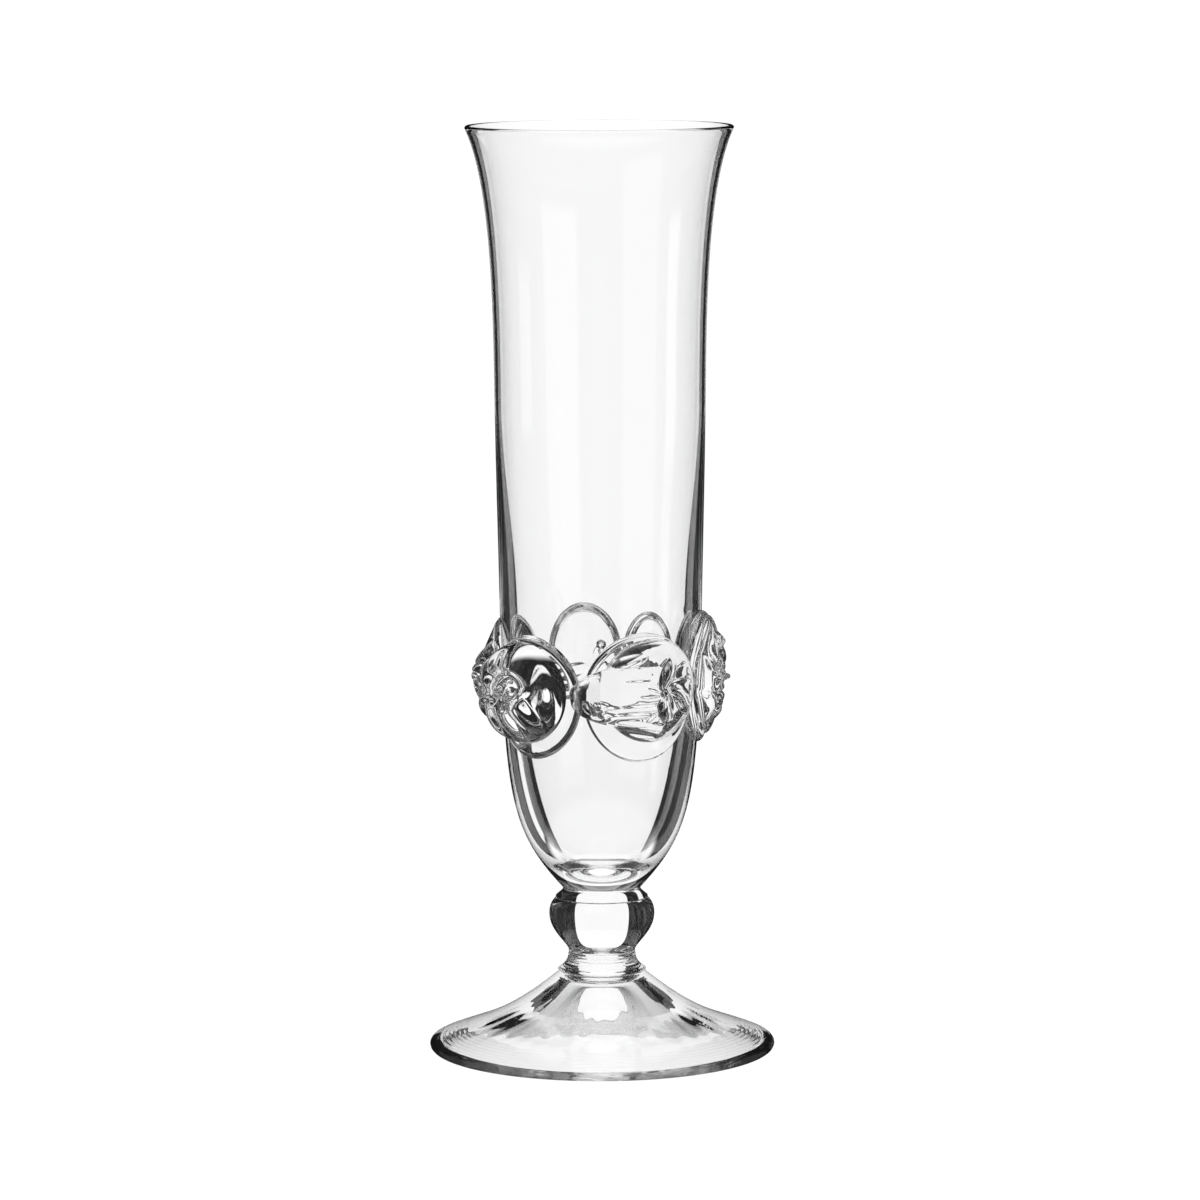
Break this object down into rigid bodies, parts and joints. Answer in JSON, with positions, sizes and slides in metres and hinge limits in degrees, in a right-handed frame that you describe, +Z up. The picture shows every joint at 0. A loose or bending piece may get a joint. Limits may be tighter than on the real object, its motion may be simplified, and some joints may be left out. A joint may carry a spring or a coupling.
{
  "type": "footed bud vase",
  "caption": "Tall clear glass bud vase: flared cylindrical vessel with a belt of applied prunts, on a knopped stem and a spread round foot.",
  "frame": {"origin": "centre of the foot's flat standing ring, on the surface that the vase stands on", "axes": "+Z up along the vase's axis; -Y towards the front, between the two largest front prunts; +X to the right"},
  "size_m": [0.0854, 0.0854, 0.228],
  "materials": {
    "vessel_glass": "clear, fire polished",
    "stem_glass": "clear, fire polished, solid",
    "foot_glass": "clear, fire polished",
    "prunt_glass": "clear, hot worked"
  },
  "bodies": {
    "root": {"vessel": "vessel_glass", "upper_merese": "stem_glass", "knop": "stem_glass", "lower_merese": "stem_glass", "foot": "foot_glass", "prunt_pad_1": "prunt_glass", "prunt_pad_2": "prunt_glass", "prunt_pad_3": "prunt_glass", "prunt_pad_4": "prunt_glass", "prunt_pad_5": "prunt_glass", "prunt_pad_6": "prunt_glass", "prunt_bloom_1": "prunt_glass", "prunt_bloom_2": "prunt_glass", "prunt_bloom_3": "prunt_glass", "prunt_bloom_4": "prunt_glass", "prunt_bloom_5": "prunt_glass", "prunt_bloom_6": "prunt_glass"}
  },
  "joints": []
}
